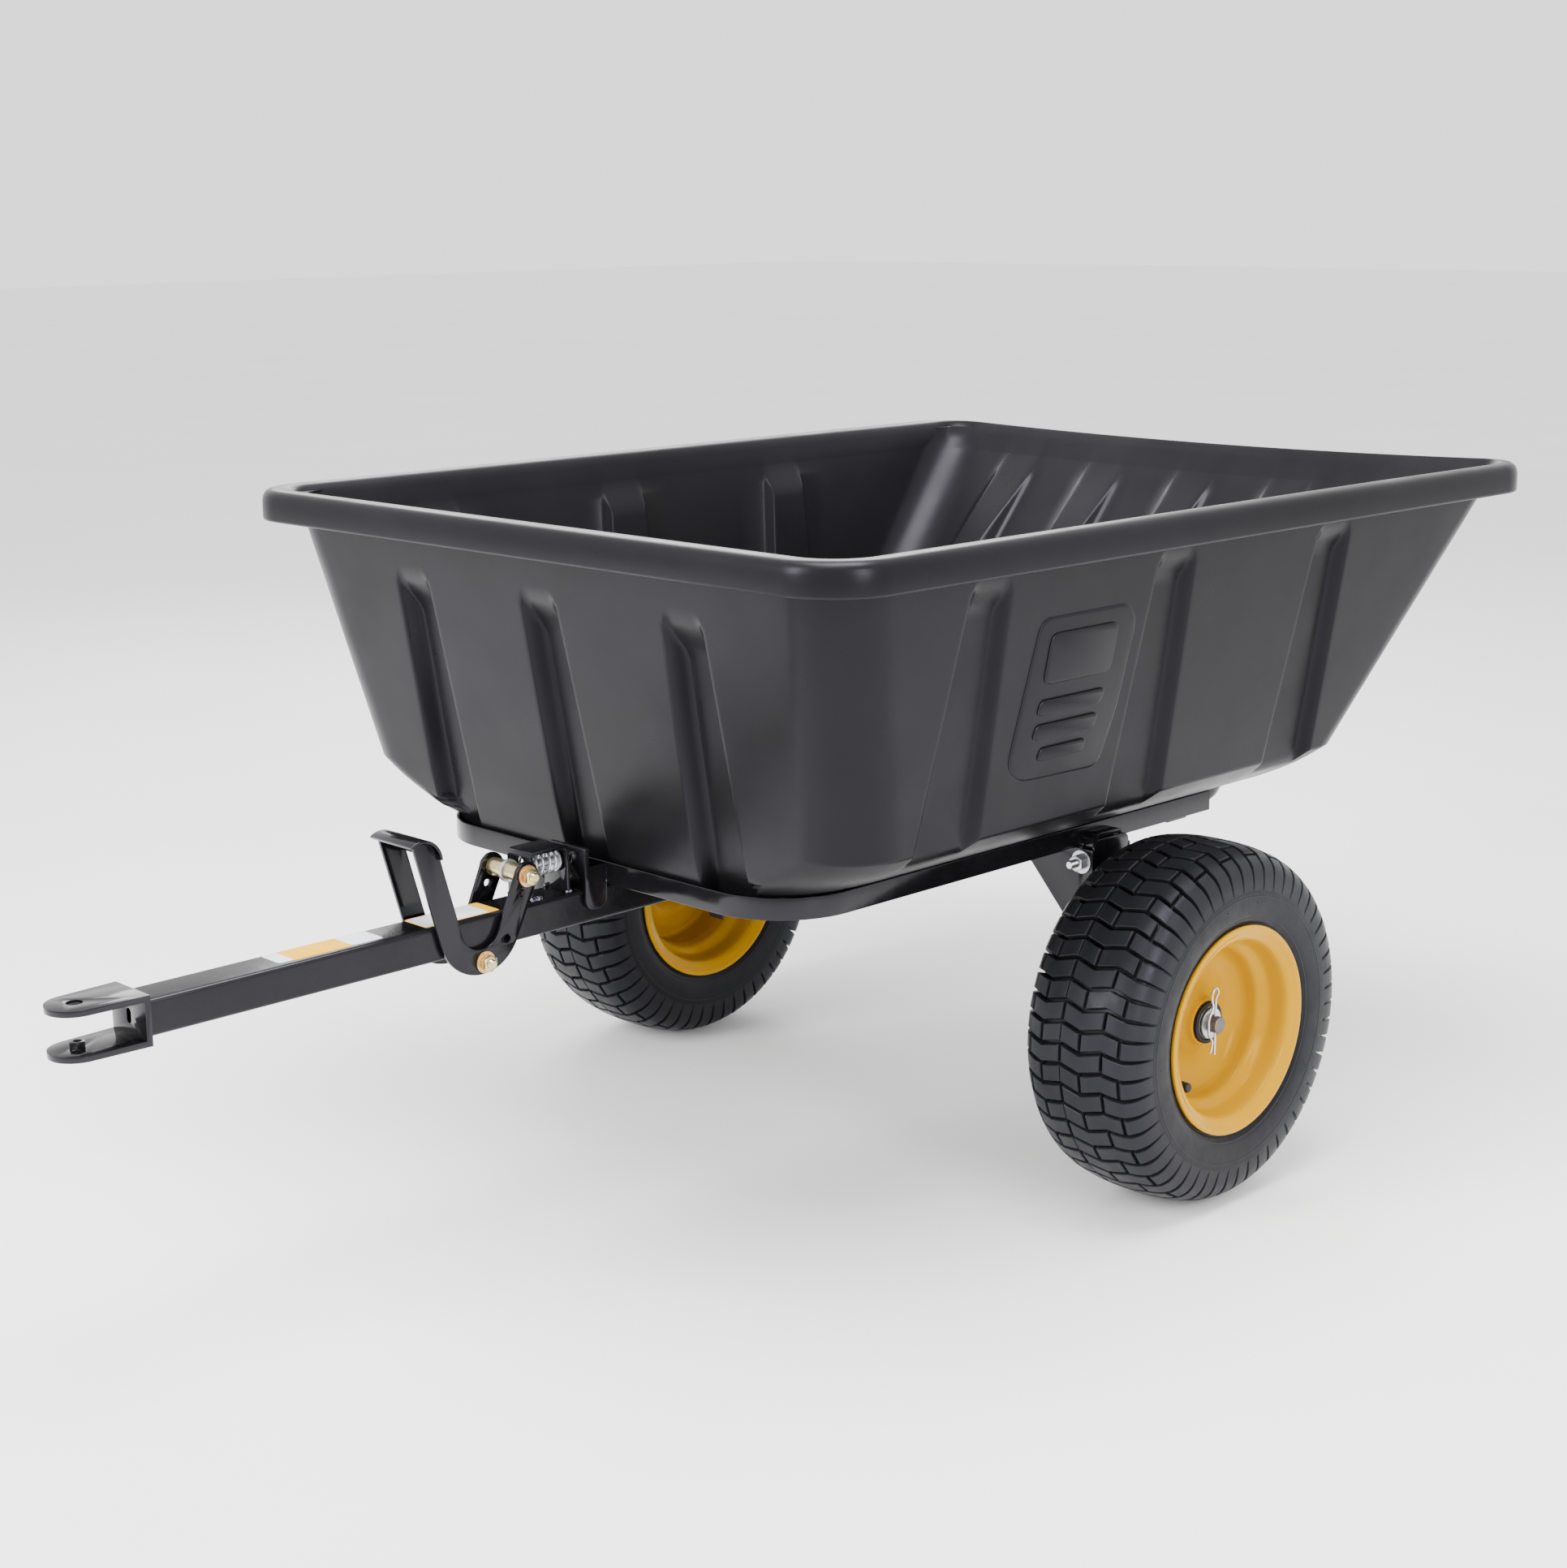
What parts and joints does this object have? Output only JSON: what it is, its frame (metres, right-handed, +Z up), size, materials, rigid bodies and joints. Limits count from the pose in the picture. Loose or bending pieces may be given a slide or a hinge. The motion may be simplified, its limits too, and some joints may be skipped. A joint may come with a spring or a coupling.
{
  "type": "tow-behind dump cart",
  "caption": "Tow-behind garden cart: moulded tub on a steel frame, pneumatic tyres, clevis tongue, and a foot latch that lets the tub tip back.",
  "frame": {"origin": "middle of the overall length and width, on the ground plane", "axes": "+Z up, +Y backwards along the cart, away from the hitch, +X to the cart's left"},
  "size_m": [1.0116, 1.761, 0.7806],
  "materials": {
    "tub_poly": "satin textured polyethylene",
    "tyre_rubber": "matt",
    "rim_paint": "gloss",
    "black_rubber": "matt",
    "bare_steel": "machined, dark",
    "yellow_zinc": "yellow passivated zinc",
    "white_zinc": "bright zinc",
    "black_powder_coat": "semi-gloss powder coat"
  },
  "bodies": {
    "drawbar": {"tongue_tube": "black_powder_coat", "hitch_clevis": "black_powder_coat", "clevis_nut": "black_powder_coat", "latch_bracket": "black_powder_coat", "pedal_pivot_bushing": "black_powder_coat", "pedal_pivot_bolt": "yellow_zinc", "pedal_pivot_nut": "yellow_zinc", "latch_spring": "white_zinc", "tilt_bushing": "bare_steel"},
    "pedal": {"pedal_plate_left": "black_powder_coat", "pedal_plate_right": "black_powder_coat", "foot_tread": "black_powder_coat", "latch_bushing_left": "yellow_zinc", "latch_bushing_right": "yellow_zinc", "latch_bolt": "yellow_zinc", "latch_nut": "yellow_zinc"},
    "latch_pin": {"latch_pin": "white_zinc", "spring_collar": "white_zinc"},
    "bed": {"tub": "tub_poly", "bed_frame": "black_powder_coat", "rear_crossbar": "black_powder_coat", "latch_saddle": "black_powder_coat", "axle_crossmember": "black_powder_coat", "tilt_ear_left": "black_powder_coat", "tilt_ear_right": "black_powder_coat", "tilt_bolt": "white_zinc", "tilt_nut": "white_zinc", "axle_leg_left": "black_powder_coat", "axle_leg_right": "black_powder_coat", "frame_hanger_left": "black_powder_coat", "frame_hanger_right": "black_powder_coat", "hanger_bolt_left": "white_zinc", "hanger_bolt_right": "white_zinc", "hanger_nut_left": "white_zinc", "hanger_nut_right": "white_zinc", "stub_axle_left": "bare_steel", "stub_axle_right": "bare_steel", "axle_washer_left": "white_zinc", "axle_washer_right": "white_zinc", "hairpin_left": "white_zinc", "hairpin_right": "white_zinc", "tub_bolt_rear_left": "white_zinc", "tub_bolt_rear_right": "white_zinc", "tub_bolt_front_left": "white_zinc", "tub_bolt_front_right": "white_zinc", "tub_nut_rear_left": "white_zinc", "tub_nut_rear_right": "white_zinc", "tub_nut_front_left": "white_zinc", "tub_nut_front_right": "white_zinc"},
    "wheel_left": {"tyre_left": "tyre_rubber", "rim_left": "rim_paint", "hub_left": "rim_paint", "hub_bearing_left": "black_rubber", "valve_stem_left": "black_rubber"},
    "wheel_right": {"tyre_right": "tyre_rubber", "rim_right": "rim_paint", "hub_right": "rim_paint", "hub_bearing_right": "black_rubber", "valve_stem_right": "black_rubber"}
  },
  "joints": [
    {"name": "bed_tilt", "type": "hinge", "parent": "drawbar", "child": "bed", "pos_m": [0, 0.2145, 0.3595], "axis": [-1, 0, 0], "range_deg": [0, 55]},
    {"name": "pedal_pivot", "type": "hinge", "parent": "drawbar", "child": "pedal", "pos_m": [0, -0.4025, 0.331], "axis": [1, 0, 0], "range_deg": [0, 10], "stiffness_Nm_per_rad": 20, "springref_deg": -17.19, "deforming": ["latch_spring"]},
    {"name": "latch_pin_swing", "type": "hinge", "parent": "pedal", "child": "latch_pin", "pos_m": [0, -0.3435, 0.412], "axis": [1, 0, 0], "range_deg": [-17, 0.5]},
    {"name": "wheel_left_spin", "type": "hinge", "parent": "bed", "child": "wheel_left", "pos_m": [0.42675, 0.2695, 0.203], "axis": [1, 0, 0], "continuous": true},
    {"name": "wheel_right_spin", "type": "hinge", "parent": "bed", "child": "wheel_right", "pos_m": [-0.42675, 0.2695, 0.203], "axis": [1, 0, 0], "continuous": true}
  ],
  "couplings": [
    {"joint": "latch_pin_swing", "follows": "pedal_pivot", "ratio": -1.66}
  ]
}
